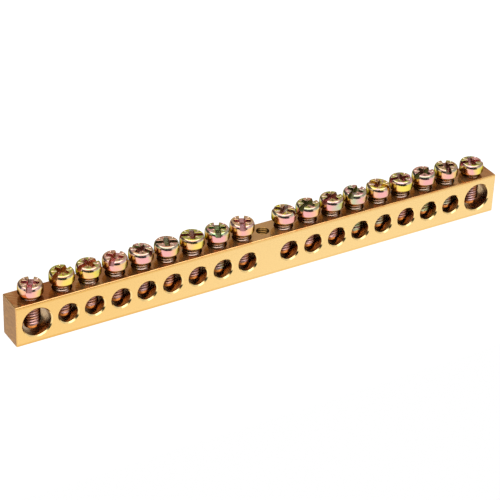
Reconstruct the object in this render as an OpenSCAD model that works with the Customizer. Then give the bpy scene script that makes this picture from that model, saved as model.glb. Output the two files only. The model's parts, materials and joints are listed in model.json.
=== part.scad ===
// Earth terminal bar: a drilled rectangular bar with eighteen wire holes,
// one clamping screw standing over each hole and one threaded fixing hole
// in the middle. Millimetres, +Z up, bar lying along X, origin at the
// middle of the underside.

/* [View] */
// Sub-part to build, or all of them

/* [Bar] */
// Length of the bar along X
bar_length = 150; // [120:0.5:200]
// Thickness of the bar along Y
bar_width = 8; // [7:0.1:12]
// Height of the bar along Z
bar_height = 12; // [10:0.1:16]
// Broken edge along the four long edges
bar_edge = 0.3; // [0.1:0.05:0.6]
// Broken edge round the two sawn end faces
end_edge = 0.2; // [0.1:0.05:0.5]

/* [Row of terminals] */
// Distance between neighbouring small terminals
pitch = 7.65; // [7.2:0.05:9]
// Small terminals on each side of the fixing hole
per_side = 8; // [2:1:9]
// Middle of the bar to the first small terminal
first_terminal = 6.55; // [6:0.05:8]
// Last small terminal to the large end terminal
end_gap = 8.9; // [8:0.05:11]

/* [Small wire holes] */
// Radius of a small wire hole
wire_r = 2.65; // [2.2:0.05:3]
// Radius of its flared mouth
wire_mouth_r = 3.2; // [2.7:0.05:3.5]
// Depth of the flared mouth
wire_mouth_depth = 0.6; // [0.2:0.05:1]

/* [Large wire holes] */
// Radius of the two wire holes at the ends
large_r = 3.75; // [3:0.05:4]
// Radius of their flared mouths
large_mouth_r = 4.2; // [3.2:0.05:4.5]
// Depth of the flared mouths
large_mouth_depth = 0.55; // [0.2:0.05:1]

/* [Tapped screw holes] */
// Gap all round between a screw thread and its hole
thread_gap = 0.04; // [0.02:0.01:0.1]
// Countersink round the top of each screw hole
tap_mouth = 0.25; // [0.1:0.05:0.5]

/* [Fixing hole] */
// Radius of the tapped fixing hole at its thread crests
fixing_r = 1.65; // [1.2:0.05:2]
// Countersink at both ends of the fixing hole
fixing_mouth = 0.2; // [0.1:0.05:0.5]

/* [Clamping screw shank] */
// Radius at the thread crests
screw_r = 2.5; // [2:0.05:3]
// Radius at the bottom of the thread grooves
screw_root_r = 2.08; // [1.6:0.02:2.6]
// Pitch of the thread
screw_pitch = 0.8; // [0.5:0.05:1]
// Length from the underside of the head to the tip
screw_length = 10; // [8:0.1:14]
// Thread-free neck right under the head
neck_length = 0.35; // [0.1:0.05:1]
// Radius of the short plain point below the thread
point_r = 1.95; // [1.5:0.05:2.2]
// Length of the plain point
point_length = 0.85; // [0.5:0.05:1.5]
// Broken edge round the end of the point
point_edge = 0.2; // [0.1:0.05:0.4]

/* [Clamping screw head] */
// Head radius
head_r = 3.4; // [3:0.05:4]
// Head height
head_height = 3; // [2:0.1:4]
// Rounding between the side and the top of the head
head_round = 0.95; // [0.3:0.05:1.4]
// Rounding under the edge of the head
head_under_round = 0.45; // [0.1:0.05:0.8]

/* [Drive recess] */
// Width of the open slot
slot_width = 1.4; // [0.8:0.05:1.8]
// Depth of the open slot
slot_depth = 1.3; // [0.8:0.05:2]
// Width of the closed cross arms
arm_width = 1.3; // [0.8:0.05:1.6]
// Reach of the cross arms at the top of the head
arm_reach = 2.35; // [1.5:0.05:2.6]
// Reach of the cross arms at their floor
arm_floor_reach = 1.45; // [1:0.05:2]
// Depth of the cross arms
arm_depth = 1.6; // [1:0.05:2.2]
// Radius of the centre pit at the top of the head
pit_r = 1.2; // [0.8:0.05:1.5]
// Radius of the centre pit at its floor
pit_floor_r = 0.55; // [0.3:0.05:1]
// Depth of the centre pit
pit_depth = 2.1; // [1.2:0.05:2.4]
// Width of the four marks between the arms
mark_width = 0.32; // [0.2:0.02:0.5]
// Depth of the four marks
mark_depth = 0.18; // [0.1:0.02:0.3]
// Outer reach of the four marks
mark_reach = 2.55; // [2:0.05:3]

/* [How the screws stand] */
// Height of the screw points in the small terminals
small_point_z = 4.05; // [4.05:0.05:8]
// Height of the screw points in the large terminals
large_point_z = 3.05; // [2.7:0.05:9]
// Turn of the drive slot of each screw, left to right, in degrees
turns = [59, 31, 14, 46, 119, 158, 157, 66, 64,
         130, 23, 19, 34, 121, 170, 16, 70, 166];

/* [Colours] */
// Bar finish
brass = "#D9B06A";
// Screw finish
plated = "#C9A86E";

/* [Hidden] */
$fn = 96;
eps = 0.01;
// Height of the wire hole axes
wire_z = bar_height / 2;
// Distance of the end terminals from the middle
end_x = first_terminal + (per_side - 1) * pitch + end_gap;
// Positions of the small terminals, left to right
small_x = [for (i = [0 : 2 * per_side - 1])
    i < per_side ? -first_terminal - (per_side - 1 - i) * pitch
                 : first_terminal + (i - per_side) * pitch];
tapped_r = screw_r + thread_gap;
// Thread grooves on one screw
thread_span = screw_length - neck_length - point_length;
thread_turns = floor(thread_span / screw_pitch);

// ---------------------------------------------------------------- bar

// Rectangle with its four corners broken
module broken_rectangle(width, height, edge) {
    polygon([[-width / 2 + edge, 0], [width / 2 - edge, 0],
             [width / 2, edge], [width / 2, height - edge],
             [width / 2 - edge, height], [-width / 2 + edge, height],
             [-width / 2, height - edge], [-width / 2, edge]]);
}

// Solid bar before drilling: long edges and end faces broken
module bar_blank() {
    intersection() {
        rotate([90, 0, 90])
            translate([0, 0, -bar_length / 2])
                linear_extrude(bar_length)
                    broken_rectangle(bar_width, bar_height, bar_edge);
        translate([0, bar_width / 2 + 1, 0])
            rotate([90, 0, 0])
                linear_extrude(bar_width + 2)
                    broken_rectangle(bar_length, bar_height, end_edge);
        translate([0, 0, -1])
            linear_extrude(bar_height + 2)
                translate([0, -bar_width / 2])
                    broken_rectangle(bar_length, bar_width, end_edge);
    }
}

// One cross hole with a flared mouth on both faces
module wire_hole(r, mouth_r, mouth_depth) {
    half = bar_width / 2;
    rotate([90, 0, 0])
        rotate_extrude()
            polygon([[0, -half - eps], [mouth_r, -half - eps],
                     [mouth_r, -half], [r, -half + mouth_depth],
                     [r, half - mouth_depth], [mouth_r, half],
                     [mouth_r, half + eps], [0, half + eps]]);
}

// Vertical screw hole from the top face into the wire hole
module tapped_hole() {
    translate([0, 0, wire_z])
        rotate_extrude()
            polygon([[0, 0], [tapped_r, 0],
                     [tapped_r, bar_height - wire_z - tap_mouth],
                     [tapped_r + tap_mouth, bar_height - wire_z],
                     [tapped_r + tap_mouth, bar_height - wire_z + eps],
                     [0, bar_height - wire_z + eps]]);
}

// Tapped fixing hole right through the middle of the bar
module fixing_hole() {
    mouth_r = fixing_r + fixing_mouth;
    rotate_extrude()
        polygon([[0, -eps], [mouth_r, -eps], [mouth_r, 0],
                 [fixing_r, fixing_mouth],
                 [fixing_r, bar_height - fixing_mouth],
                 [mouth_r, bar_height], [mouth_r, bar_height + eps],
                 [0, bar_height + eps]]);
}

module terminal_bar() {
    color(brass)
        difference() {
            bar_blank();
            for (x = small_x)
                translate([x, 0, 0]) {
                    translate([0, 0, wire_z])
                        wire_hole(wire_r, wire_mouth_r, wire_mouth_depth);
                    tapped_hole();
                }
            for (x = [-end_x, end_x])
                translate([x, 0, 0]) {
                    translate([0, 0, wire_z])
                        wire_hole(large_r, large_mouth_r, large_mouth_depth);
                    tapped_hole();
                }
            fixing_hole();
        }
}

// -------------------------------------------------------------- screw

// Half profile of the shank, point down, underside of the head at height 0
module shank_profile() {
    top = -neck_length;
    polygon(concat(
        [[0, eps], [screw_root_r, eps], [screw_root_r, top]],
        [for (i = [0 : thread_turns - 1])
            let (z = top - i * screw_pitch)
            each [[screw_r, z - 0.35 * screw_pitch],
                  [screw_r, z - 0.55 * screw_pitch],
                  [screw_root_r, z - 0.9 * screw_pitch],
                  [screw_root_r, z - screw_pitch]]],
        [[screw_root_r, -screw_length + point_length],
         [point_r, -screw_length + point_length - 0.1],
         [point_r, -screw_length + point_edge],
         [point_r - point_edge, -screw_length],
         [0, -screw_length]]));
}

// Half profile of the head, rounded over at the top
module head_profile() {
    top_r = head_r - head_round;
    foot_r = head_r - head_under_round;
    polygon([[0, 0], [foot_r, 0], [foot_r, head_under_round],
             [head_r, head_under_round], [head_r, head_height - head_round],
             [top_r, head_height - head_round], [top_r, head_height],
             [0, head_height]]);
    translate([top_r, head_height - head_round])
        intersection() {
            circle(head_round);
            square(head_round + eps);
        }
    translate([foot_r, head_under_round])
        intersection() {
            circle(head_under_round);
            translate([0, -head_under_round - eps])
                square(head_under_round + eps);
        }
}

// Open slot, closed cross arms, centre pit and four marks
module drive_recess() {
    translate([0, 0, head_height]) {
        translate([-head_r - 1, -slot_width / 2, -slot_depth])
            cube([2 * head_r + 2, slot_width, slot_depth + 1]);
        translate([arm_width / 2, 0, 0])
            rotate([90, 0, -90])
                linear_extrude(arm_width)
                    polygon([[-arm_reach, eps], [-arm_floor_reach, -arm_depth],
                             [arm_floor_reach, -arm_depth], [arm_reach, eps]]);
        translate([0, 0, -pit_depth])
            cylinder(h = pit_depth + eps, r1 = pit_floor_r, r2 = pit_r);
        for (a = [45, 135])
            rotate([0, 0, a])
                translate([-mark_reach, -mark_width / 2, -mark_depth])
                    cube([2 * mark_reach, mark_width, mark_depth + 1]);
    }
}

// Complete clamping screw, point at height 0, slot along X
module clamping_screw() {
    translate([0, 0, screw_length])
        difference() {
            union() {
                rotate_extrude() shank_profile();
                rotate_extrude() head_profile();
            }
            drive_recess();
        }
}

// Screw number n of the row (0 is the left end), standing in its hole
module screw_in_row(n) {
    last = 2 * per_side + 1;
    is_end = n == 0 || n == last;
    x = n == 0 ? -end_x : n == last ? end_x : small_x[n - 1];
    color(plated)
        translate([x, 0, is_end ? large_point_z : small_point_z])
            rotate([0, 0, turns[n]])
                clamping_screw();
}

module end_screw_left() { screw_in_row(0); }
module screw_01() { screw_in_row(1); }
module screw_02() { screw_in_row(2); }
module screw_03() { screw_in_row(3); }
module screw_04() { screw_in_row(4); }
module screw_05() { screw_in_row(5); }
module screw_06() { screw_in_row(6); }
module screw_07() { screw_in_row(7); }
module screw_08() { screw_in_row(8); }
module screw_09() { screw_in_row(9); }
module screw_10() { screw_in_row(10); }
module screw_11() { screw_in_row(11); }
module screw_12() { screw_in_row(12); }
module screw_13() { screw_in_row(13); }
module screw_14() { screw_in_row(14); }
module screw_15() { screw_in_row(15); }
module screw_16() { screw_in_row(16); }
module end_screw_right() { screw_in_row(17); }

// -------------------------------------------------------------- build
terminal_bar();
end_screw_left();
screw_01();
screw_02();
screw_03();
screw_04();
screw_05();
screw_06();
screw_07();
screw_08();
screw_09();
screw_10();
screw_11();
screw_12();
screw_13();
screw_14();
screw_15();
screw_16();
end_screw_right();
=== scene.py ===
"""Dresses the packed earth terminal bar: threaded clamping screws, brass finishes, studio and camera."""

import json
import logging
import math
from dataclasses import dataclass, field
from enum import Enum
from functools import reduce
from typing import Any

import bmesh
import bpy
import numpy as np
from mathutils import Matrix, Vector


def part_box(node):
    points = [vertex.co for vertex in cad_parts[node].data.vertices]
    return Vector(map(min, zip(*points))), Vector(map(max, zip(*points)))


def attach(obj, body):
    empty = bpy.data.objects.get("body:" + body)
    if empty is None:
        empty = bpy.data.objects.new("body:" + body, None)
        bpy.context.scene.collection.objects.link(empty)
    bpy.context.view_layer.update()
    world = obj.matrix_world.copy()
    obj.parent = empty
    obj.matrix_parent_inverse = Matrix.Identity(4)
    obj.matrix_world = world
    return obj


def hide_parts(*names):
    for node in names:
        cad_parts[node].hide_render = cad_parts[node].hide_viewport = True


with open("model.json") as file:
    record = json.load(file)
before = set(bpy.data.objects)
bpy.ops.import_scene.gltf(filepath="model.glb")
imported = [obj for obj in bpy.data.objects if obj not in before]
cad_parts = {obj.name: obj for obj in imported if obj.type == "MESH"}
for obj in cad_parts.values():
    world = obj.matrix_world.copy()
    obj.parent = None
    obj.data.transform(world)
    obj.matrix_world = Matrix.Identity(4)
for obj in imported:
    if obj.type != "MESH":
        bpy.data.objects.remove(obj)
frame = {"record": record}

MM = 0.001
CREASE = 38.0  # Edges that bend more than this many degrees stay sharp.
SPARE = 0.5  # How far a cutter stands out of the bar, in millimetres.
log = logging.getLogger("terminal_bar")

Colour = tuple[float, float, float]
Socket = bpy.types.NodeSocket


def linear(red: int, green: int, blue: int) -> Colour:
    """Turns a colour written as 0 to 255 screen values into linear light.

    Args:
        red: Screen red.
        green: Screen green.
        blue: Screen blue.

    Returns:
        The linear colour, by the usual power curve with its short straight foot.
    """
    screen = np.array([red, green, blue]) / 255.0
    light = np.where(screen <= 0.04045, screen / 12.92, ((screen + 0.055) / 1.055) ** 2.4)
    return tuple(float(v) for v in light)


class Film(Enum):
    """Tints that the chromate film takes, as screen values, and a few colours that stand in for painted
    shade, painted highlights and a painted reflection.
    """

    OLIVE = (208, 200, 112)
    GOLD = (240, 216, 96)
    YELLOW = (252, 224, 104)
    PEACH = (253, 200, 144)
    TAN = (236, 190, 150)
    SALMON = (240, 180, 158)
    PINK = (244, 178, 174)
    ROSE = (232, 168, 170)
    MAROON = (170, 124, 116)
    BROWN = (196, 142, 98)
    MOSS = (152, 150, 116)
    SAGE = (196, 202, 168)
    GREEN = (178, 220, 152)
    RIM = (150, 140, 60)
    THIN_FILM_AND_SHEEN = (232, 228, 208)
    PIT = (226, 208, 212)
    UNDER = (176, 152, 84)
    TIP = (226, 160, 100)
    MARK = (238, 200, 192)
    NECK = (206, 180, 164)
    # Painted shade, laid on the heads' lower left sides and on the thread's sides.
    SMOKE = (118, 84, 40)
    COPPER = (216, 156, 122)
    DUST = (204, 166, 164)
    ASH = (214, 200, 190)

    @property
    def light(self) -> Colour:
        """The tint in linear light."""
        return linear(*self.value)


# ---------------------------------------------------------------- shader graphs


class Graph:
    """A short way to write a material's or the world's nodes as an expression."""

    def __init__(self, tree: bpy.types.NodeTree) -> None:
        """Empties the tree, so that only what is added here stays."""
        self.tree = tree
        tree.nodes.clear()

    def node(self, kind: str, *values: Any, **settings: Any) -> bpy.types.Node:
        """Adds a node, sets its plain properties and feeds its first inputs.

        Args:
            kind: Blender's node type name.
            values: What the first inputs get, in their order.
            settings: Property names and values.

        Returns:
            The new node.
        """
        made = self.tree.nodes.new(kind)
        for name, value in settings.items():
            setattr(made, name, value)
        for slot, value in zip(made.inputs, values):
            self.feed(slot, value)
        return made

    def fill(self, node: bpy.types.Node, **values: Any) -> bpy.types.Node:
        """Feeds a node's inputs by name.

        Args:
            node: The node.
            values: Input names, with an underscore for each space, and what they get.

        Returns:
            The same node.
        """
        for name, value in values.items():
            self.feed(node.inputs[name.replace("_", " ")], value)
        return node

    def feed(self, target: Socket, value: Any) -> None:
        """Links a socket, or sets a number or colour, on an input.

        Args:
            target: The input socket.
            value: An output socket, a number, or a tuple.
        """
        if isinstance(value, bpy.types.NodeSocket):
            self.tree.links.new(value, target)
        elif isinstance(value, (tuple, list)) and target.type == "RGBA" and len(value) == 3:
            target.default_value = (*value, 1.0)
        else:
            target.default_value = value

    def math(self, operation: str, *values: Any) -> Socket:
        """One arithmetic step on up to three sockets or numbers."""
        return self.node("ShaderNodeMath", *values, operation=operation).outputs[0]

    def times(self, first: Any, second: Any) -> Socket:
        """The product of two sockets or numbers."""
        return self.math("MULTIPLY", first, second)

    def vector(self, operation: str, *values: Any, scale: float | None = None) -> Socket:
        """One vector step.

        Args:
            operation: The Vector Math node's operation.
            values: Sockets or tuples.
            scale: The factor of a SCALE step.

        Returns:
            The vector, or the number for DOT_PRODUCT and LENGTH.
        """
        made = self.node("ShaderNodeVectorMath", *values, operation=operation)
        if scale is not None:
            made.inputs["Scale"].default_value = scale
        return made.outputs["Value" if operation in ("DOT_PRODUCT", "LENGTH") else "Vector"]

    def millimetres(self) -> tuple[Socket, Socket, Socket, Socket]:
        """The piece's own coordinates in millimetres.

        Returns:
            The vector, then x, y and z.
        """
        place = self.node("ShaderNodeTexCoord").outputs["Object"]
        scaled = self.vector("SCALE", place, scale=1000.0)
        return scaled, *self.node("ShaderNodeSeparateXYZ", scaled).outputs

    def join(self, x: Any, y: Any, z: Any) -> Socket:
        """A vector from three numbers."""
        return self.node("ShaderNodeCombineXYZ", x, y, z).outputs[0]

    def noise(self, place: Socket, scale: float, detail: float = 3.0,
              roughness: float = 0.5, stretch: Colour = (1.0, 1.0, 1.0),
              distortion: float = 0.0) -> Socket:
        """A cloudy pattern between 0 and 1.

        Args:
            place: Coordinates in millimetres.
            scale: Clouds per millimetre, roughly.
            detail: Finer layers added.
            roughness: How strong the finer layers are.
            stretch: Scale of each axis, small along a streak.
            distortion: How much the pattern is pulled about.

        Returns:
            The pattern's value.
        """
        mapped = self.fill(self.node("ShaderNodeMapping"), Vector=place, Scale=stretch)
        made = self.fill(self.node("ShaderNodeTexNoise"), Vector=mapped.outputs[0], Scale=scale,
                         Detail=detail, Roughness=roughness, Distortion=distortion)
        return made.outputs[0]

    def step(self, value: Any, low: float, high: float) -> Socket:
        """A smooth rise from 0 at low to 1 at high, or a fall where low is the larger.

        Args:
            value: The number read.
            low: Where the result is 0.
            high: Where the result is 1.

        Returns:
            The smoothed result.
        """
        made = self.node("ShaderNodeMapRange", interpolation_type="SMOOTHSTEP")
        start, end = (1.0, 0.0) if low > high else (0.0, 1.0)
        self.fill(made, Value=value, From_Min=min(low, high), From_Max=max(low, high),
                  To_Min=start, To_Max=end)
        return made.outputs["Result"]

    def blend(self, share: Any, first: Any, second: Any) -> Socket:
        """A colour between two: first where share is 0, second where it is 1.

        Args:
            share: The mix.
            first: Colour or socket.
            second: Colour or socket.

        Returns:
            The mixed colour.
        """
        made = self.node("ShaderNodeMix", share, data_type="RGBA")
        self.feed(made.inputs[6], first)
        self.feed(made.inputs[7], second)
        return made.outputs[2]

    def number(self, share: Any, first: Any, second: Any) -> Socket:
        """A number between two.

        Args:
            share: The mix.
            first: The result where the share is 0.
            second: The result where the share is 1.

        Returns:
            The mixed number.
        """
        made = self.node("ShaderNodeMix", share, data_type="FLOAT")
        self.feed(made.inputs[2], first)
        self.feed(made.inputs[3], second)
        return made.outputs[0]

    def ramp(self, value: Socket, stops: list[tuple[float, Colour]]) -> Socket:
        """A run of colours along a number.

        Args:
            value: The number read, 0 to 1.
            stops: Positions and their colours, in order.

        Returns:
            The colour.
        """
        made = self.node("ShaderNodeValToRGB", value)
        elements = made.color_ramp.elements
        while len(elements) < len(stops):
            elements.new(0.5)
        for element, (position, colour) in zip(elements, stops):
            element.position = position
            element.color = (*colour, 1.0)
        return made.outputs[0]

    def bump(self, height: Socket, distance: float, strength: float) -> Socket:
        """A normal bent by a height pattern.

        Args:
            height: The pattern.
            distance: Height in millimetres where the pattern is 1.
            strength: Share of the effect.

        Returns:
            The bent normal.
        """
        made = self.node("ShaderNodeBump")
        return self.fill(made, Height=height, Distance=distance * MM, Strength=strength).outputs[0]


def metal(name: str) -> tuple[bpy.types.Material, Graph, bpy.types.Node]:
    """An all-metal material with its shader in place.

    Args:
        name: The finish's name.

    Returns:
        The material, its graph, and the shader node.
    """
    material = bpy.data.materials.new(name)
    material.use_nodes = True
    graph = Graph(material.node_tree)
    shader = graph.node("ShaderNodeBsdfPrincipled")
    shader.inputs["Metallic"].default_value = 1.0
    graph.node("ShaderNodeOutputMaterial", shader.outputs[0])
    return material, graph, shader


# ---------------------------------------------------------------- finishes


@dataclass(frozen=True)
class BrassFinish:
    """Drawn brass: satin gold long faces, browner top, sawn ends, bright cut edges and bores, with some
    painted light and shade laid on.
    """

    face: Colour = linear(255, 218, 149)
    face_left_shaded: Colour = linear(254, 209, 131)
    rim_shade_tint: Colour = linear(243, 231, 203)
    top: Colour = linear(194, 132, 76)
    top_dark: Colour = linear(150, 88, 42)
    top_pale: Colour = linear(222, 174, 112)
    top_left_shaded: Colour = linear(180, 100, 42)
    sawn: Colour = linear(180, 130, 64)
    sawn_dark: Colour = linear(140, 94, 44)
    edge: Colour = linear(240, 188, 120)
    edge_dark: Colour = linear(228, 160, 90)
    edge_low: Colour = linear(250, 212, 146)
    edge_low_left_shaded: Colour = linear(232, 184, 112)
    bore: Colour = linear(204, 176, 134)
    bore_dark: Colour = linear(160, 126, 90)
    # Painted shade inside the fixing hole.
    tapped: Colour = linear(124, 92, 48)
    mouth_depth: float = 0.352
    tap_reach: float = 2.10
    skin: float = 0.006
    long_edge: float = 0.33
    end_edge: float = 0.22

    def build(self, half: Vector) -> bpy.types.Material:
        """Makes the material, which finds each region from the bar's own coordinates.

        Args:
            half: Half length, half thickness and height of the bar, in millimetres.

        Returns:
            The brass material.
        """
        material, g, shader = metal("drawn_brass")
        place, x, y, z = g.millimetres()
        wire_height = half.z / 2
        far_x, far_y = g.math("ABSOLUTE", x), g.math("ABSOLUTE", y)
        on_front = g.math("GREATER_THAN", far_y, half.y - self.skin)
        on_top = g.math("GREATER_THAN", z, half.z - self.skin)
        on_bottom = g.math("LESS_THAN", z, self.skin)
        on_end = g.math("GREATER_THAN", far_x, half.x - self.skin)
        away = g.math("ABSOLUTE", g.math("SUBTRACT", z, wire_height))
        near_long = g.math("GREATER_THAN", away, wire_height - self.long_edge)
        near_face = g.math("GREATER_THAN", far_y, half.y - self.long_edge)
        near_end = g.math("GREATER_THAN", far_x, half.x - self.end_edge)
        on_edge = g.math("MAXIMUM", g.times(near_long, near_face), near_end)
        on_mouth = g.math("GREATER_THAN", far_y, half.y - self.mouth_depth)

        grain = g.noise(place, 6.0, 4.0, 0.6)
        fine = g.noise(place, 22.0, 2.0, 0.6)
        streak = g.noise(place, 3.2, 5.0, 0.65, (0.10, 1.0, 1.0))
        cloud = g.noise(place, 0.10, 3.0, 0.55)
        slanted = g.vector("ADD", place, g.join(y, 0.0, 0.0))
        across = g.noise(slanted, 2.4, 5.0, 0.7, (1.0, 0.08, 1.0))
        saw = g.noise(place, 2.6, 5.0, 0.65, (1.0, 0.14, 1.6))

        # Painted shade: the face is a little darker and deeper in tint towards the left end, as the light
        # falls along the bar.
        face = g.blend(g.step(x, -75.0, 10.0), self.face_left_shaded, self.face)
        face = g.blend(g.step(grain, 0.42, 0.66), face, g.vector("SCALE", face, scale=0.90))
        # Painted shade: a band along the face's upper and lower long edges is darkened, strongest at the
        # left end and fading to the right.
        painted_rim_shade = g.times(g.step(away, wire_height - 0.95, wire_height - 0.50),
                           g.number(g.step(x, -60.0, 40.0), 1.0, 0.55))
        face = g.blend(painted_rim_shade, face, g.vector("MULTIPLY", face, self.rim_shade_tint))
        # The top is browner than the faces: partly the brass's own tone, partly painted shade of the top
        # face. Towards the left end it is redder and darker, painted shade as the light falls along the
        # bar.
        top = g.blend(g.step(x, -74.0, -34.0), self.top_left_shaded, self.top)
        top = g.blend(g.step(g.number(0.5, cloud, across), 0.50, 0.34), top, self.top_dark)
        # Painted light: the top is paler around the middle, about the fixing hole.
        pale_middle_light = g.times(g.step(far_x, 13.0, 5.0), 0.6)
        pale = g.math("MAXIMUM", pale_middle_light, g.step(g.number(0.5, cloud, across), 0.52, 0.70))
        top = g.blend(pale, top, self.top_pale)
        sawn = g.blend(g.step(saw, 0.36, 0.60), self.sawn_dark, self.sawn)
        chips = g.noise(place, 1.2, 3.0, 0.6, (0.4, 1.0, 1.0))
        edge = g.blend(g.step(chips, 0.34, 0.48), self.edge_dark, self.edge)
        # Painted shade: the lower long edges are darker towards the left end.
        low_edge = g.blend(g.step(x, -60.0, 20.0), self.edge_low_left_shaded, self.edge_low)
        edge = g.blend(g.math("LESS_THAN", z, wire_height), edge, low_edge)
        rings = g.noise(place, 5.0, 3.0, 0.6, (0.15, 1.0, 0.15))
        bore = g.blend(g.step(rings, 0.35, 0.65), self.bore_dark, self.bore)

        tap = self.near_axis(g, x, y)
        # Painted shade: the fixing hole's threaded wall is tinted dark brown.
        colour = g.blend(on_mouth, g.blend(tap, bore, self.tapped), self.face)
        for region, paint in ((on_bottom, face), (on_front, face), (on_edge, edge),
                              (on_top, top), (on_end, sawn)):
            colour = g.blend(region, colour, paint)
        rough = g.number(on_mouth, 0.24, 0.16)
        rough = g.number(on_front, rough, g.number(grain, 0.34, 0.46))
        rough = g.number(on_top, rough, g.number(across, 0.08, 0.24))
        rough = g.number(on_end, rough, 0.40)
        level = g.number(on_top, g.number(on_end, g.number(0.5, grain, fine), saw),
                         g.number(0.5, streak, across))
        depth = g.times(level, g.number(on_top, g.number(on_front, 1.0, 0.5), 0.35))
        g.fill(shader, Base_Color=colour, Metallic=g.number(on_top, 1.0, 0.90), Roughness=rough,
               Normal=g.bump(depth, 0.020, 0.6))
        return material

    def near_axis(self, g: Graph, x: Socket, y: Socket) -> Socket:
        """One inside the fixing hole's wall, and 0 elsewhere."""
        return g.math("LESS_THAN", g.vector("LENGTH", g.join(x, y, 0.0)), self.tap_reach)


@dataclass(frozen=True)
class ScrewFinish:
    """Yellow-chromated zinc on one screw: a film whose tint runs round the head from side to side, partly
    film tint and partly painted reflection and shade.
    """

    name: str
    crown: Film
    crown_patch: Film
    left: Film
    middle: Film
    right: Film
    recess: Film
    recess_patch: Film
    shank: Film = Film.PINK
    seed: float = 0.0
    head_radius: float = 3.4
    # Direction across the head along which the side's tint and the painted shade are laid.
    sideways: tuple[float, float, float] = (0.863, -0.504, 0.0)

    def build(self, axis_x: float, head_top: float, head_height: float) -> bpy.types.Material:
        """Makes the material for a screw that stands on its own axis.

        Args:
            axis_x: Place of the screw's axis along the bar, in millimetres.
            head_top: Height of the head's top, in millimetres.
            head_height: Height of the head, in millimetres.

        Returns:
            The chromated zinc material.
        """
        material, g, shader = metal(self.name)
        _, x, y, z = g.millimetres()
        local = g.join(g.math("SUBTRACT", x, axis_x), y, g.math("SUBTRACT", z, head_top))
        shifted = g.vector("ADD", local, (self.seed * 17.0, self.seed * 31.0, self.seed * 7.0))
        film = g.noise(shifted, 0.34, 2.0, 0.5, distortion=0.4)
        patch = g.noise(shifted, 0.62, 2.0, 0.5)
        radius = g.vector("LENGTH", g.join(g.math("SUBTRACT", x, axis_x), y, 0.0))
        depth = g.math("SUBTRACT", head_top, z)

        # The side's tint runs across the head along the fixed sideways direction: partly film tint, partly
        # painted reflection and shade. The olive ends are painted reflections at the head's outline.
        across = g.math("DIVIDE", g.vector("DOT_PRODUCT", local, self.sideways), 2 * self.head_radius)
        drift = g.times(g.math("SUBTRACT", film, 0.5), 0.6)
        place_round = g.math("ADD", g.math("ADD", across, 0.5), drift)
        side = g.ramp(place_round, [(0.03, Film.OLIVE.light), (0.18, self.left.light),
                                    (0.50, self.middle.light), (0.84, self.right.light),
                                    (1.0, Film.OLIVE.light)])
        # Painted shade: the head's side is darkened towards its lower left, across the fixed sideways
        # direction.
        painted_left_shade = g.times(g.step(across, -0.22, -0.42), g.step(depth, 0.9, 2.0))
        side = g.blend(g.times(painted_left_shade, 0.85), side, Film.SMOKE.light)
        crown = g.blend(g.step(patch, 0.44, 0.60), self.crown.light, self.crown_patch.light)
        fall = g.times(g.math("POWER", g.math("DIVIDE", radius, 2.72), 2.0), 0.10)
        mark = g.times(g.step(g.math("SUBTRACT", depth, fall), 0.03, 0.09),
                       g.step(radius, 2.72, 2.60))
        crown = g.blend(mark, crown, Film.MARK.light)
        colour = g.blend(g.step(depth, 0.30, 0.80), crown, side)
        inside = g.times(g.step(depth, 0.10, 0.34), g.step(radius, 3.36, 3.10))
        sunk = g.blend(g.step(patch, 0.50, 0.62), self.recess.light, self.recess_patch.light)
        # The pit's pale tint is partly a paler film and partly a painted highlight that whitens the pit's
        # bright spots.
        pit = g.blend(g.step(film, 0.44, 0.56), Film.PIT.light, self.recess.light)
        sunk = g.blend(g.step(depth, 1.35, 1.70), sunk, pit)
        # Partly a paler, thinner film on the rounded shoulder, partly a painted highlight that whitens the
        # shoulder's bright band.
        sheen_band = g.times(g.step(depth, 0.10, 0.22), g.step(depth, 0.95, 0.60))
        colour = g.blend(g.times(sheen_band, 0.8), colour, Film.THIN_FILM_AND_SHEEN.light)
        colour = g.blend(inside, colour, sunk)
        # The under-rounding is tinted olive: partly film tint, partly painted shade where the head sits
        # over the bar.
        colour = g.blend(g.step(depth, head_height - 0.34, head_height - 0.20), colour, Film.UNDER.light)
        shank = g.step(depth, head_height - 0.05, head_height + 0.10)
        colour = g.blend(shank, colour, self.shank_colour(g, shifted, across, depth, head_height))

        scuff = g.noise(shifted, 5.0, 3.0, 0.6)
        rough = g.number(scuff, 0.11, 0.20)
        rough = g.number(shank, g.number(inside, rough, 0.26), 0.24)
        below_crown = g.number(g.step(depth, 0.08, 0.30), 0.3, 1.0)
        waves = g.times(g.noise(shifted, 1.1, 2.0, 0.5), below_crown)
        waves = g.times(waves, g.number(shank, 1.0, 0.25))
        g.fill(shader, Base_Color=colour, Specular_Tint=Film.RIM.light, Roughness=rough,
               Normal=g.bump(waves, 0.030, 0.45))
        return material

    def shank_colour(self, g: Graph, place: Socket, across: Socket, depth: Socket,
                     head_height: float) -> Socket:
        """Colour of the thread: cloudy along it, plain near the head, with painted shade at its sides and a
        painted reflection at the tip.

        Args:
            g: The screw material's graph.
            place: Coordinates in millimetres, shifted by the screw's seed.
            across: Place from side to side, in head diameters from the axis.
            depth: Depth below the head's top, in millimetres.
            head_height: Height of the head, in millimetres.

        Returns:
            The colour.
        """
        worn = g.noise(place, 0.7, 2.0, 0.5, (0.5, 0.5, 1.0))
        pale = tuple(0.75 * a + 0.25 * b for a, b in zip(self.shank.light, Film.ASH.light))
        thread = g.ramp(worn, [(0.36, Film.COPPER.light), (0.50, pale), (0.66, Film.DUST.light)])
        upper = g.step(depth, 6.2, 4.6)
        thread = g.blend(upper, g.vector("SCALE", thread, scale=0.80), Film.NECK.light)
        # Painted shade: the thread is darkened at both sides across the fixed sideways direction, more
        # widely on the left.
        painted_lit_middle = g.times(g.step(across, -0.26, -0.02),
                      g.step(g.math("ADD", across, g.times(upper, 0.08)), 0.36, 0.24))
        thread_with_painted_shade = g.blend(painted_lit_middle, g.vector("MULTIPLY", thread, Film.SMOKE.light), thread)
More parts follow.
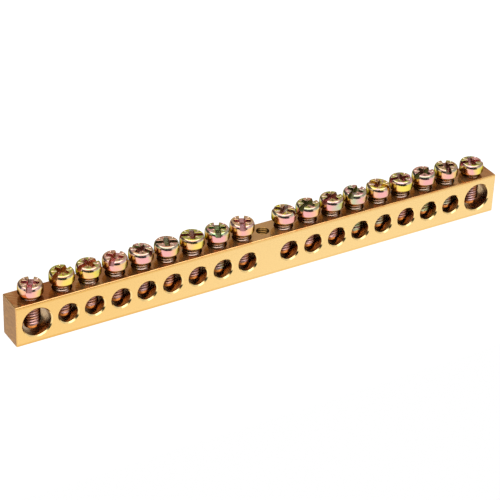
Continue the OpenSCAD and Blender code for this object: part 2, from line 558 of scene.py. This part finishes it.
        # Painted reflection: the plain point is tinted orange, as the brass round it shows in it.
        tip = g.step(depth, head_height + 9.05, head_height + 9.35)
        return g.blend(tip, thread_with_painted_shade, Film.TIP.light)


# ---------------------------------------------------------------- mesh work


def wrapped_faces(rows: int, columns: int, lift: int = 0) -> np.ndarray:
    """Four-sided faces of a tube grid, counted row by row.

    Vertex (row, column) is number row times columns plus column. Each face takes two
    neighbouring columns and two neighbouring rows. The last column joins the first one
    "lift" rows further on, which lets a grid climb like a thread.

    Args:
        rows: Rows in the grid.
        columns: Columns round the tube.
        lift: Rows climbed in one turn.

    Returns:
        An array of faces, facing outwards where rows climb and columns turn left.
    """
    row, column = np.meshgrid(np.arange(rows - 1), np.arange(columns - 1), indexing="ij")
    start = row * columns + column
    body = np.stack([start, start + 1, start + columns + 1, start + columns], -1).reshape(-1, 4)
    low = np.arange(rows - 1 - lift)
    last = low * columns + columns - 1
    first = (low + lift) * columns
    seam = np.stack([last, first, first + columns, last + columns], -1)
    return np.concatenate([body, seam])


@dataclass
class Shell:
    """Points in millimetres and the four-sided faces between them."""

    points: np.ndarray
    faces: np.ndarray

    def joined(self, other: "Shell") -> "Shell":
        """Both shells as one, with the second's faces counted on."""
        return Shell(np.concatenate([self.points, other.points]),
                     np.concatenate([self.faces, other.faces + len(self.points)]))

    def placed(self, turn: float, spot: Vector) -> "Shell":
        """The shell turned about +Z and moved.

        Args:
            turn: Turn in degrees.
            spot: Where the local origin goes, in millimetres.

        Returns:
            The moved shell: x and y mix by the sine and cosine of the turn.
        """
        c, s = math.cos(math.radians(turn)), math.sin(math.radians(turn))
        spin = np.array([[c, s, 0.0], [-s, c, 0.0], [0.0, 0.0, 1.0]])
        return Shell(self.points @ spin + np.array(spot), self.faces)

    def piece(self, name: str, material: bpy.types.Material) -> bpy.types.Object:
        """Puts the shell into the scene as a smooth piece with sharp creases.

        Args:
            name: The piece's name.
            material: Its finish.

        Returns:
            The piece, at the origin, with closed seams and poles.
        """
        mesh = bpy.data.meshes.new(name)
        mesh.from_pydata(self.points * MM, [], self.faces.tolist())
        work = bmesh.new()
        work.from_mesh(mesh)
        bmesh.ops.remove_doubles(work, verts=work.verts, dist=0.0008 * MM)
        bmesh.ops.dissolve_degenerate(work, edges=work.edges, dist=0.0002 * MM)
        work.to_mesh(mesh)
        work.free()
        mesh.polygons.foreach_set("use_smooth", np.ones(len(mesh.polygons), bool))
        mesh.set_sharp_from_angle(angle=math.radians(CREASE))
        mesh.materials.append(material)
        made = bpy.data.objects.new(name, mesh)
        bpy.context.scene.collection.objects.link(made)
        return made


def swept(radius: np.ndarray, level: np.ndarray, angle: np.ndarray, lift: int = 0) -> Shell:
    """A tube from radii and heights on a grid: x and y are radius times cosine and sine.

    Args:
        radius: Distances from the axis, in millimetres, one row per ring.
        level: Heights in millimetres, on the same grid.
        angle: The columns' directions, in radians.
        lift: Rows climbed in one turn.

    Returns:
        The tube.
    """
    points = np.stack([radius * np.cos(angle), radius * np.sin(angle), level], -1)
    return Shell(points.reshape(-1, 3), wrapped_faces(len(level), len(angle), lift))


def turned(profile: list[tuple[float, float]], columns: int = 96) -> Shell:
    """A shape turned about +Z.

    Args:
        profile: Radius and height of each ring, from the lowest to the highest, in millimetres.
        columns: Steps round the axis.

    Returns:
        The turned shape, which is closed where both end rings have no radius.
    """
    angle = np.arange(columns) / columns * 2 * math.pi
    rings = np.array(profile)
    return swept(rings[:, :1], np.repeat(rings[:, 1:], columns, 1), angle)


@dataclass
class DriveRecess:
    """The combined drive: an open slot, closed cross arms, a centre pit and four marks."""

    slot_half: float = 0.70
    slot_depth: float = 1.30
    arm_half: float = 0.65
    arm_reach: float = 2.35
    arm_floor_reach: float = 1.45
    arm_depth: float = 1.60
    pit_radius: float = 1.20
    pit_floor: float = 0.55
    pit_depth: float = 2.10
    mark_half: float = 0.21
    mark_depth: float = 0.26
    mark_reach: float = 2.62
    lip: float = 0.10

    def outline(self, angle: np.ndarray, offset: float = 0.0) -> np.ndarray:
        """How far the slot and arms reach along each direction from the axis.

        The slot's edge stands at its half width over the sine of the angle. An arm's edge is
        the nearer of its side, half width over the cosine, and its end, reach over the sine.
        The opening is the further of the two.

        Args:
            angle: Directions in radians, 0 along the slot.
            offset: Millimetres by which the outline is widened.

        Returns:
            Radii in millimetres.
        """
        sine = np.maximum(np.abs(np.sin(angle)), 1e-6)
        cosine = np.maximum(np.abs(np.cos(angle)), 1e-6)
        arm = np.minimum((self.arm_half + offset) / cosine, (self.arm_reach + offset) / sine)
        return np.maximum((self.slot_half + offset) / sine, arm)

    def pit(self, radius: np.ndarray) -> np.ndarray:
        """Height of the pit: a cone from its floor up to the top, and 0 beyond it."""
        climb = (radius - self.pit_floor) / (self.pit_radius - self.pit_floor)
        return -self.pit_depth * (1.0 - np.clip(climb, 0.0, 1.0))

    def floor(self, radius: np.ndarray, angle: np.ndarray) -> np.ndarray:
        """Height of the recess inside its outline: the lowest of slot, arms and pit.

        An arm's floor is level out to its floor reach and then climbs straight to the top.

        Args:
            radius: Distances from the axis, in millimetres.
            angle: Directions in radians.

        Returns:
            Heights below the top, as numbers of 0 or less.
        """
        x, y = np.abs(radius * np.cos(angle)), np.abs(radius * np.sin(angle))
        climb = (y - self.arm_floor_reach) / (self.arm_reach - self.arm_floor_reach)
        arm = -self.arm_depth * (1.0 - np.clip(climb, 0.0, 1.0))
        arm = np.where(x <= self.arm_half + 1e-5, arm, 0.0)
        slot = np.where(y <= self.slot_half + 1e-5, -self.slot_depth, 0.0)
        return np.minimum(np.minimum(arm, slot), self.pit(radius))

    def marks(self, radius: np.ndarray, angle: np.ndarray) -> np.ndarray:
        """Height of the four marks: grooves along the diagonals, rounded across.

        Args:
            radius: Distances from the axis, in millimetres.
            angle: Directions in radians.

        Returns:
            Heights of 0 or less.
        """
        x, y = np.abs(radius * np.cos(angle)), np.abs(radius * np.sin(angle))
        across = np.abs(x - y) / math.sqrt(2.0) / self.mark_half
        ending = np.clip((self.mark_reach - radius) / 0.12, 0.0, 1.0)
        return -self.mark_depth * ending * np.sqrt(np.clip(1.0 - across ** 2, 0.0, 1.0))


@dataclass
class ScrewHead:
    """A cheese head with a well rounded upper edge. Its local origin is the middle of its underside."""

    radius: float = 3.40
    height: float = 3.00
    rounding: float = 0.68
    shoulder: float = 1.35
    crown: float = 0.10
    under_round: float = 0.28
    drive: DriveRecess = field(default_factory=DriveRecess)

    def directions(self) -> np.ndarray:
        """Angles of the columns: even steps, closer together at the marks, exact at every corner.

        Returns:
            Sorted angles in radians, all the way round.
        """
        d = self.drive
        corners = np.array([
            math.asin(d.slot_half / self.radius) - 2e-4, math.asin(d.slot_half / self.radius) + 2e-4,
            math.asin(d.slot_half / (self.radius - self.rounding)),
            math.atan2(d.slot_half, d.arm_half), math.atan2(d.arm_reach, d.arm_half),
            math.atan2(d.arm_floor_reach, d.arm_half)])
        even = np.radians(np.arange(0.0, 90.1, 3.0))
        close = np.radians(45.0 + np.arange(-8.0, 8.1, 1.0))
        quarter = np.unique(np.round(np.concatenate([even, close, corners]), 6))
        half = np.concatenate([quarter, math.pi - quarter])
        return np.unique(np.round(np.concatenate([half, half + math.pi]) % (2 * math.pi), 6))

    def top_height(self, radius: np.ndarray) -> np.ndarray:
        """Height of the uncut top below its centre.

        The middle falls by the crown with the square of the radius, and the last stretch is a
        quarter of an ellipse, "rounding" wide and "shoulder" high, that ends upright at the side.

        Args:
            radius: Distances from the axis, in millimetres.

        Returns:
            Heights of 0 or less.
        """
        start = self.radius - self.rounding
        over = np.clip((radius - start) / self.rounding, 0.0, 1.0)
        arc = 1.0 - np.sqrt(1.0 - over ** 2)
        return -self.crown * np.clip(radius / start, 0.0, 1.0) ** 2 - (self.shoulder - self.crown) * arc

    def shell(self) -> Shell:
        """The head as rings of points from the pit's middle, over the top and down to the underside.

        Each ring holds one radius and one height per direction. Inside the outline the height is
        the recess floor. At the outline it climbs the wall and rolls over the lip, a quarter
        circle. Beyond it the height is the crowned top with its marks, then the side. Where the
        slot runs out of the side, every outer ring falls onto the end of the slot's floor.

        Returns:
            The closed head.
        """
        d = self.drive
        angle = self.directions()
        edge = np.minimum(d.outline(angle), self.radius)
        is_open = np.abs(np.sin(angle)) * self.radius < d.slot_half
        rings: list[tuple[np.ndarray, np.ndarray]] = []

        def add(radius: np.ndarray | float, height: np.ndarray | float) -> None:
            """Keeps one ring."""
            rings.append((np.broadcast_to(radius, angle.shape), np.broadcast_to(height, angle.shape)))

        inner, steps = (0.0, 0.3, d.pit_floor, 0.62, 0.705, 0.80), 4
        for r in inner:
            add(r, d.floor(np.full(angle.shape, r), angle))
        rise = d.arm_floor_reach / np.maximum(np.abs(np.sin(angle)), 1e-6)
        turn = np.where(rise < edge, rise, inner[-1] + 0.5 * (edge - inner[-1]))
        for low, high in ((inner[-1], turn), (turn, edge)):
            for share in np.arange(1, steps + 1) / steps:
                r = low + (high - low) * share
                add(r, d.floor(r, angle))
        foot = d.floor(edge, angle)
        for swing in np.radians([0.0, 22.0, 45.0, 68.0, 90.0]):
            r = np.minimum(d.outline(angle, d.lip * (1.0 - math.cos(swing))), self.radius)
            level = np.minimum(self.top_height(r), d.pit(r)) - d.lip * (1.0 - math.sin(swing))
            add(r, np.maximum(level, foot))
        start = np.minimum(d.outline(angle, d.lip), self.radius)
        shoulder = np.maximum(start, self.radius - self.rounding)
        for share in np.arange(1, 9) / 8.0:
            r = start + (shoulder - start) * share
            add(r, np.minimum(self.top_height(r), d.pit(r)) + d.marks(r, angle))
        begin = np.arcsin(np.clip((shoulder - self.radius + self.rounding) / self.rounding, 0.0, 1.0))
        for share in np.arange(1, 10) / 9.0:
            swing = begin + (math.pi / 2 - begin) * share
            r = self.radius - self.rounding + self.rounding * np.sin(swing)
            add(r, self.top_height(r) + d.marks(r, angle))
        outer = len(inner) + 2 * steps
        rings = [(np.where(is_open, self.radius if k >= outer else np.minimum(r, self.radius), r),
                  np.where(is_open & (k >= outer), -d.slot_depth, z)) for k, (r, z) in enumerate(rings)]
        side_top = np.where(is_open, -d.slot_depth, self.top_height(np.array([self.radius]))[0])
        side_foot = -(self.height - self.under_round)
        for share in (0.33, 0.66, 1.0):
            add(self.radius, side_top + (side_foot - side_top) * share)
        for swing in np.radians(np.arange(15.0, 90.1, 15.0)):
            add(self.radius - self.under_round * (1.0 - math.cos(swing)),
                side_foot - self.under_round * math.sin(swing))
        for r in (1.2, 0.0):
            add(r, -self.height)
        radius, height = (np.stack(grid)[::-1] for grid in zip(*rings))
        return swept(radius, height + self.height, angle)


@dataclass
class ScrewShank:
    """A right-handed threaded shank with a short plain point. Its local origin is the middle of its tip."""

    radius: float = 2.50
    root: float = 2.06
    pitch: float = 0.80
    length: float = 10.0
    neck: float = 0.35
    point_radius: float = 1.95
    point_length: float = 0.85
    point_edge: float = 0.20
    columns: int = 56
    buried: float = 0.40
    run_in: float = 0.50
    run_out: float = 0.35
    swell: float = 0.25

    def shell(self) -> Shell:
        """The shank: a climbing grid for the thread between two plain ends.

        The thread's rows climb one pitch per turn, so that row and column give the height: foot
        plus pitch times the row's share of a turn plus the column's share. Its radius runs over
        root, flank, crest and flank along one pitch, and fades to the plain radius at both ends.
        Rows past an end fall onto its circle.

        Returns:
            The closed shank.
        """
        angle = np.arange(self.columns) / self.columns * 2 * math.pi
        foot, head = self.point_length, self.length - self.neck
        share = np.array([0.0, 0.10, 0.25, 0.40, 0.46, 0.54, 0.60, 0.75, 0.90])
        lift = np.array([0.0, 0.18, 0.56, 0.93, 1.0, 1.0, 0.93, 0.56, 0.18])
        turns = math.ceil((head - foot) / self.pitch)
        row = np.arange(-len(share), (turns + 1) * len(share) + 1)
        climb = row // len(share) + share[row % len(share)]
        level = foot + self.pitch * (climb[:, None] + angle[None, :] / (2 * math.pi))
        fade = np.clip((level - foot) / self.run_in, 0.0, 1.0)
        fade = fade * np.clip((head - level) / self.run_out, 0.0, 1.0)
        bulge = lift[row % len(share)][:, None] * (self.radius - self.root)
        grown = np.clip((level - foot) / self.swell, 0.0, 1.0)
        plain = self.point_radius + (self.root - self.point_radius) * grown
        radius = plain + bulge * fade
        thread = swept(radius, np.clip(level, foot, head), angle, len(share))
        low = turned([(0.0, 0.0), (self.point_radius - self.point_edge, 0.0),
                      (self.point_radius - 0.3 * self.point_edge, 0.3 * self.point_edge),
                      (self.point_radius, self.point_edge), (self.point_radius, foot)], self.columns)
        high = turned([(self.root, head), (self.root, self.length + self.buried),
                       (0.0, self.length + self.buried)], self.columns)
        return thread.joined(low).joined(high)


# ---------------------------------------------------------------- sub-assemblies


@dataclass
class ClampingScrew:
    """One clamping screw, built where its CAD node stands and turned as it stands."""

    node: str
    turn: float
    finish: ScrewFinish
    head: ScrewHead = field(default_factory=ScrewHead)
    shank: ScrewShank = field(default_factory=ScrewShank)

    def axis(self) -> Vector:
        """The middle of the screw's tip, in millimetres."""
        low, high = (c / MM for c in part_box(self.node))
        return Vector(((low.x + high.x) / 2, (low.y + high.y) / 2, low.z))

    def build(self) -> bpy.types.Object:
        """Joins head and shank, dresses them and hangs them on the screw's body.

        Returns:
            The finished screw.
        """
        high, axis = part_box(self.node)[1] / MM, self.axis()
        seat = axis + Vector((0.0, 0.0, self.shank.length))
        head = self.head.shell().placed(self.turn, seat)
        shank = self.shank.shell().placed(self.turn, axis)
        material = self.finish.build(axis.x, high.z, self.head.height)
        made = head.joined(shank).piece(self.node + "_threaded", material)
        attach(made, self.node)
        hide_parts(self.node)
        return made


def screw_row() -> list[ClampingScrew]:
    """The eighteen screws from left to right, each with its turn and the tint of its own film.

    Each row below gives the slot's turn in degrees, then the tints of the crown, its patches, the
    side from left to right, the recess, its patches, and the shank.

    Returns:
        The screws, not yet built.
    """
    f = Film
    plan = [
        (59, f.TAN, f.TAN, f.PEACH, f.PINK, f.PEACH, f.ROSE, f.MAROON, f.PINK),
        (31, f.OLIVE, f.GOLD, f.PEACH, f.PEACH, f.YELLOW, f.BROWN, f.BROWN, f.PINK),
        (14, f.OLIVE, f.TAN, f.YELLOW, f.PEACH, f.GOLD, f.BROWN, f.ROSE, f.ROSE),
        (46, f.TAN, f.SALMON, f.PINK, f.PINK, f.PEACH, f.ROSE, f.BROWN, f.PINK),
        (119, f.TAN, f.PINK, f.PEACH, f.PINK, f.PINK, f.MAROON, f.GREEN, f.PINK),
        (158, f.SALMON, f.TAN, f.PINK, f.PINK, f.PEACH, f.MOSS, f.MAROON, f.PINK),
        (157, f.OLIVE, f.GOLD, f.PEACH, f.PEACH, f.YELLOW, f.MAROON, f.BROWN, f.ROSE),
        (66, f.PINK, f.OLIVE, f.PINK, f.PINK, f.PINK, f.MOSS, f.GREEN, f.SAGE),
        (64, f.TAN, f.PEACH, f.PEACH, f.PINK, f.PEACH, f.ROSE, f.MAROON, f.PINK),
        (130, f.SALMON, f.GOLD, f.PEACH, f.PINK, f.PINK, f.MAROON, f.SAGE, f.ROSE),
        (23, f.SALMON, f.OLIVE, f.PINK, f.PINK, f.PEACH, f.MOSS, f.MOSS, f.PINK),
        (19, f.OLIVE, f.TAN, f.PINK, f.PINK, f.SAGE, f.MAROON, f.ROSE, f.PINK),
        (34, f.PINK, f.SAGE, f.PEACH, f.SAGE, f.PINK, f.MOSS, f.MOSS, f.GREEN),
        (121, f.TAN, f.YELLOW, f.PEACH, f.PINK, f.PINK, f.MAROON, f.YELLOW, f.SAGE),
        (170, f.OLIVE, f.PINK, f.PEACH, f.YELLOW, f.GOLD, f.MAROON, f.ROSE, f.ROSE),
        (16, f.SALMON, f.PINK, f.PEACH, f.PINK, f.PINK, f.MOSS, f.MAROON, f.GREEN),
        (70, f.TAN, f.OLIVE, f.PEACH, f.PINK, f.PEACH, f.MAROON, f.MOSS, f.SAGE),
        (166, f.OLIVE, f.PINK, f.PEACH, f.PINK, f.YELLOW, f.MAROON, f.ROSE, f.ROSE),
    ]
    names = ["end_screw_left"] + [f"screw_{n:02d}" for n in range(1, 17)] + ["end_screw_right"]
    return [
        ClampingScrew(name, row[0], ScrewFinish(f"chromated_zinc_{k:02d}", *row[1:], seed=0.37 * k + 0.2))
        for k, (name, row) in enumerate(zip(names, plan), 1)
    ]


@dataclass(frozen=True)
class WireHole:
    """A cross hole with a slightly flared mouth on both long faces, in millimetres."""

    radius: float
    mouth_radius: float
    mouth_depth: float

    def drill(self, x: float, half: Vector) -> Shell:
        """The solid that the hole takes out of the bar.

        It is turned about +Z first and then laid over: y becomes the height and z minus y.

        Args:
            x: Place along the bar.
            half: Half length, half thickness and height of the bar.

        Returns:
            The drill, a little longer than the bar is thick.
        """
        reach = half.y + SPARE
        neck = half.y - self.mouth_depth
        solid = turned([(0.0, -reach), (self.mouth_radius, -reach), (self.mouth_radius, -half.y),
                        (self.radius, -neck), (self.radius, neck), (self.mouth_radius, half.y),
                        (self.mouth_radius, reach), (0.0, reach)])
        laid = solid.points @ np.array([[1.0, 0.0, 0.0], [0.0, 0.0, 1.0], [0.0, -1.0, 0.0]])
        return Shell(laid + np.array([x, 0.0, half.z / 2]), solid.faces)


@dataclass
class TerminalBar:
    """The drawn bar: rounded edges, cross holes for the wires, tapped holes from the top."""

    node: str = "terminal_bar"
    edge: float = 0.30
    end_edge: float = 0.20
    small: WireHole = WireHole(2.75, 3.10, 0.35)
    large: WireHole = WireHole(4.05, 4.37, 0.33)
    tapped_radius: float = 2.54
    tapped_mouth: float = 0.20
    fixing_radius: float = 1.65
    fixing_mouth: float = 0.20
    fixing_major: float = 1.98
    fixing_pitch: float = 0.70
    tap_inset: float = 0.04
    finish: BrassFinish = field(default_factory=BrassFinish)
    half: Vector = field(init=False)

    def __post_init__(self) -> None:
        """Takes half the length, half the thickness and the height from the CAD node, in millimetres."""
        low, high = (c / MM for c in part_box(self.node))
        self.half = Vector(((high.x - low.x) / 2, (high.y - low.y) / 2, high.z - low.z))

    def build(self, screws: list[ClampingScrew]) -> bpy.types.Object:
        """Drills the bar where its record and its screws say, and gives it its brass.

        Args:
            screws: The screws, whose axes are those of the tapped holes.

        Returns:
            The bar, which stands for its CAD node.
        """
        brass = self.finish.build(self.half)
        bar = self.blank().piece(self.node + "_drilled", brass)
        cuts = [self.cross_holes().piece("cross_drills", brass),
                self.upright_holes(screws).piece("upright_drills", brass),
                self.fixing_tap().piece("fixing_tap", brass)]
        for cut in cuts:
            bar.modifiers.new(cut.name, "BOOLEAN").object = cut
        graph = bpy.context.evaluated_depsgraph_get()
        bar.data = bpy.data.meshes.new_from_object(bar.evaluated_get(graph))
        bar.modifiers.clear()
        for cut in cuts:
            bpy.data.objects.remove(cut)
        self.crease(bar.data)
        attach(bar, "bar")
        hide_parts(self.node)
        return bar

    def blank(self) -> Shell:
        """The undrilled bar.

        Each section across it is a rectangle with quarter-circle corners: a corner's centre plus
        the edge radius times cosine and sine. Near an end the sections draw in by the end edge
        times one minus a cosine, while x nears the end by its sine, and the last one closes on
        the bar's axis.

        Returns:
            The closed bar.
        """
        half = self.half
        turn = np.radians(np.concatenate([np.linspace(0, 90, 7) + 90 * k for k in range(4)]))
        side = np.repeat([1.0, -1.0, -1.0, 1.0], 7)
        rise = np.repeat([1.0, 1.0, -1.0, -1.0], 7)
        swing = np.radians(np.linspace(0, 90, 6))
        inset = self.end_edge * (1.0 - np.cos(swing))
        far = half.x - self.end_edge * (1.0 - np.sin(swing))
        inset, far = np.append(inset, inset[-1]), np.append(far, half.x)
        x = np.concatenate([-far[::-1], far])[:, None] + 0.0 * turn
        draw = np.concatenate([inset[::-1], inset])[:, None]
        y = side * (half.y - self.edge - draw) + self.edge * np.cos(turn)
        z = half.z / 2 + rise * (half.z / 2 - self.edge - draw) + self.edge * np.sin(turn)
        y[[0, -1]], z[[0, -1]] = 0.0, half.z / 2
        points = np.stack([x, y, z], -1).reshape(-1, 3)
        return Shell(points, wrapped_faces(len(x), len(turn)))

    def cross_holes(self) -> Shell:
        """All the wire holes' drills, placed and told apart by the record's mounts.

        Returns:
            The drills as one shell.
        """
        mounts = [m for m in frame["record"]["mounts"] if m["name"].startswith("wire_hole")]
        kinds = [self.large if m["dims"]["r_mm"] > 3.0 else self.small for m in mounts]
        drills = [kind.drill(m["pos_m"][0] / MM, self.half) for kind, m in zip(kinds, mounts)]
        return reduce(Shell.joined, drills)

    def upright_holes(self, screws: list[ClampingScrew]) -> Shell:
        """The tapped holes down to the wire holes' axes, and the fixing hole right through.

        Args:
            screws: The screws that stand in the tapped holes.

        Returns:
            The drills as one shell.
        """
        top, wide = self.half.z, self.tapped_radius + self.tapped_mouth
        tap = turned([(0.0, top / 2), (self.tapped_radius, top / 2),
                      (self.tapped_radius, top - self.tapped_mouth), (wide, top),
                      (wide, top + SPARE), (0.0, top + SPARE)])
        mouth = self.fixing_radius + self.fixing_mouth
        through = turned([(0.0, -SPARE), (mouth, -SPARE), (mouth, 0.0),
                          (self.fixing_radius, self.fixing_mouth),
                          (self.fixing_radius, top - self.fixing_mouth), (mouth, top),
                          (mouth, top + SPARE), (0.0, top + SPARE)])
        spots = [Vector((screw.axis().x, 0.0, 0.0)) for screw in screws]
        return reduce(Shell.joined, [tap.placed(0.0, spot) for spot in spots], through)

    def fixing_tap(self) -> Shell:
        """The thread cut into the fixing hole's wall, as the screw-like tap that cuts it.

        The tap's root is a little inside the hole's wall, so that only its thread cuts.

        Returns:
            The tap, which stands out of both ends of the hole.
        """
        root = self.fixing_radius - self.tap_inset
        tap = ScrewShank(radius=self.fixing_major, root=root, pitch=self.fixing_pitch,
                         length=self.half.z + 2 * SPARE, neck=SPARE, point_radius=root,
                         point_length=SPARE, point_edge=0.05, columns=48, buried=0.0)
        return tap.shell().placed(0.0, Vector((0.0, 0.0, -SPARE)))

    def crease(self, mesh: bpy.types.Mesh) -> None:
        """Shades the bores and edges smooth and keeps every flat side of the bar flat.

        A face lies in a flat side where its middle is on that side's plane and its normal is
        that plane's. An edge with such a face on one side only stays sharp.

        Args:
            mesh: The drilled bar's mesh.
        """
        half, on_plane, square = self.half, 0.002, 0.9999
        count = len(mesh.polygons)
        middle, normal = np.empty(count * 3), np.empty(count * 3)
        mesh.polygons.foreach_get("center", middle)
        mesh.polygons.foreach_get("normal", normal)
        middle = np.abs(middle.reshape(-1, 3) / MM - np.array([0.0, 0.0, half.z / 2]))
        plane = np.abs(middle - np.array([half.x, half.y, half.z / 2])) < on_plane
        flat = (plane & (np.abs(normal.reshape(-1, 3)) > square)).any(1)
        size, border = np.empty(count, np.int32), np.empty(len(mesh.loops), np.int32)
        mesh.polygons.foreach_get("loop_total", size)
        mesh.loops.foreach_get("edge_index", border)
        sides = np.bincount(border, np.repeat(flat, size), minlength=len(mesh.edges))
        mesh.polygons.foreach_set("use_smooth", np.ones(count, bool))
        mesh.set_sharp_from_angle(angle=math.radians(CREASE))
        sharp = np.empty(len(mesh.edges), bool)
        mesh.edges.foreach_get("use_edge_sharp", sharp)
        mesh.edges.foreach_set("use_edge_sharp", sharp | (sides == 1))


@dataclass
class Studio:
    """A pale table, surroundings that are white to the eye and uneven in reflections, and a soft lamp.

    The levels are how bright reflections find the right and front walls, the dark opening in front,
    the left wall, the back low down and high up, a panel above the front, a ring of light high up
    all round, and the ceiling over the back.
    """

    table_low: tuple[float, float] = (-0.22, -0.060)
    table_high: tuple[float, float] = (0.22, 0.30)
    floor_drop: float = 0.00005
    floor_colour: Colour = (0.9, 0.9, 0.9)
    floor_glow: float = 1.09
    shadow_share: float = 0.06
    front: tuple[float, float, float] = (-0.522, -0.853, 0.0)
    sideways: tuple[float, float, float] = (0.853, -0.522, 0.0)
    wall_level: float = 0.86
    opening_level: float = 0.03
    flank_share: float = 0.25
    left_level: float = 0.10
    back_low_level: float = 0.76
    back_high_level: float = 0.50
    panel_level: float = 2.4
    ring_level: float = 2.6
    ceiling_level: float = 0.90
    lamp_height: float = 0.9
    lamp_size: float = 1.1
    lamp_power: float = 10.0

    def build(self) -> None:
        """Makes the floor, the world and the lamp."""
        self.make_floor()
        self.make_world()
        self.make_lamp()

    def make_floor(self) -> None:
        """A level sheet just under the bar, white to the eye and in reflections, with a faint shadow."""
        x, y = np.meshgrid(*zip(self.table_low, self.table_high))
        points = np.stack([x, y, np.full(x.shape, -self.floor_drop)], -1).reshape(-1, 3)
        mesh = bpy.data.meshes.new("studio_floor")
        mesh.from_pydata(points, [], [[0, 1, 3, 2]])
        floor = bpy.data.objects.new("studio_floor", mesh)
        bpy.context.scene.collection.objects.link(floor)
        material = bpy.data.materials.new("pale_floor")
        material.use_nodes = True
        g = Graph(material.node_tree)
        paint = g.node("ShaderNodeBsdfDiffuse", self.floor_colour)
        glow = g.fill(g.node("ShaderNodeEmission"), Strength=self.floor_glow)
        path = g.node("ShaderNodeLightPath")
        seen = g.times(path.outputs["Is Camera Ray"], 1.0 - self.shadow_share)
        share = g.math("MAXIMUM", seen, path.outputs["Is Glossy Ray"])
        mix = g.node("ShaderNodeMixShader", share, paint.outputs[0], glow.outputs[0])
        g.node("ShaderNodeOutputMaterial", mix.outputs[0])
        mesh.materials.append(material)

    def make_world(self) -> None:
        """Makes the surroundings.

        A reflection's level is picked by its bearing, in degrees from the front with plus to the
        right, and by its rise, the sine of its height above the horizon. Each later line lies
        over the ones before it.
        """
        world = bpy.data.worlds.new("white_studio")
        bpy.context.scene.world = world
        world.use_nodes = True
        g = Graph(world.node_tree)
        way = g.node("ShaderNodeTexCoord").outputs["Generated"]
        rise = g.node("ShaderNodeSeparateXYZ", way).outputs[2]
        side = g.vector("DOT_PRODUCT", way, self.sideways)
        ahead = g.vector("DOT_PRODUCT", way, self.front)
        bearing = g.math("DEGREES", g.math("ARCTAN2", side, ahead))

        turn = g.math("ABSOLUTE", bearing)
        back = g.number(g.step(rise, 0.20, 0.45), self.back_low_level, self.back_high_level)
        flank = g.times(g.step(turn, 70.0, 78.0), g.step(turn, 108.0, 100.0))
        opening = g.math("MAXIMUM", g.step(turn, 54.0, 46.0), g.times(flank, self.flank_share))
        opening = g.times(opening, g.step(rise, 0.54, 0.46))
        level = g.number(opening, self.wall_level, self.opening_level)
        level = g.number(g.step(turn, 104.0, 116.0), level, back)
        left = g.times(g.step(bearing, -72.0, -80.0), g.step(bearing, -160.0, -146.0))
        level = g.number(left, level, self.left_level)
        panel = g.times(g.step(rise, 0.58, 0.64), g.step(turn, 62.0, 56.0))
        level = g.number(panel, level, self.panel_level)
        level = g.number(g.step(rise, 0.78, 0.84), level, self.ring_level)
        ceiling = g.times(g.step(rise, 0.90, 0.94), g.step(ahead, 0.12, 0.04))
        level = g.number(ceiling, level, self.ceiling_level)
        path = g.node("ShaderNodeLightPath")
        strength = g.number(path.outputs["Is Camera Ray"], level, 1.0)
        sky = g.node("ShaderNodeBackground", (1.0, 1.0, 1.0), strength)
        g.node("ShaderNodeOutputWorld", sky.outputs[0])

    def make_lamp(self) -> None:
        """Hangs a square soft lamp straight above the bar, which reflections don't see."""
        data = bpy.data.lights.new("overhead_lamp", "AREA")
        data.energy = self.lamp_power
        data.size = self.lamp_size
        lamp = bpy.data.objects.new("overhead_lamp", data)
        lamp.location = (0.0, 0.0, self.lamp_height)
        lamp.visible_glossy = False
        bpy.context.scene.collection.objects.link(lamp)


@dataclass
class ViewPoint:
    """The camera: where it stands and the three directions that fix its turn."""

    place: tuple[float, float, float] = (-0.249689, -0.402030, 0.300603)
    right: tuple[float, float, float] = (0.86305, -0.50406, 0.03274)
    up: tuple[float, float, float] = (0.24287, 0.47092, 0.84809)
    focal_length: float = 147.467
    sensor: float = 36.0

    def build(self) -> bpy.types.Object:
        """Makes the camera, whose backward direction is right crossed with up.

        Returns:
            The scene's camera.
        """
        data = bpy.data.cameras.new("view_point")
        data.lens, data.sensor_width = self.focal_length, self.sensor
        data.clip_start, data.clip_end = 0.01, 20.0
        camera = bpy.data.objects.new("view_point", data)
        right, up = Vector(self.right).normalized(), Vector(self.up)
        back = right.cross(up).normalized()
        up = back.cross(right)
        turned = Matrix((right, up, back)).transposed().to_4x4()
        camera.matrix_world = Matrix.Translation(self.place) @ turned
        bpy.context.scene.collection.objects.link(camera)
        bpy.context.scene.camera = camera
        return camera


def main() -> None:
    """Builds the studio, the bar and the screws in order, and reports each."""
    logging.basicConfig(level=logging.INFO, format="%(message)s")
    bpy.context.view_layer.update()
    bpy.context.scene.view_settings.view_transform = "Standard"
    ViewPoint().build()
    Studio().build()
    screws = screw_row()
    bar = TerminalBar().build(screws)
    log.info("%s drilled, %d faces", bar.name, len(bar.data.polygons))
    for screw in screws:
        made = screw.build()
        log.info("%s built, %d faces", made.name, len(made.data.polygons))


if __name__ == "__main__":
    main()
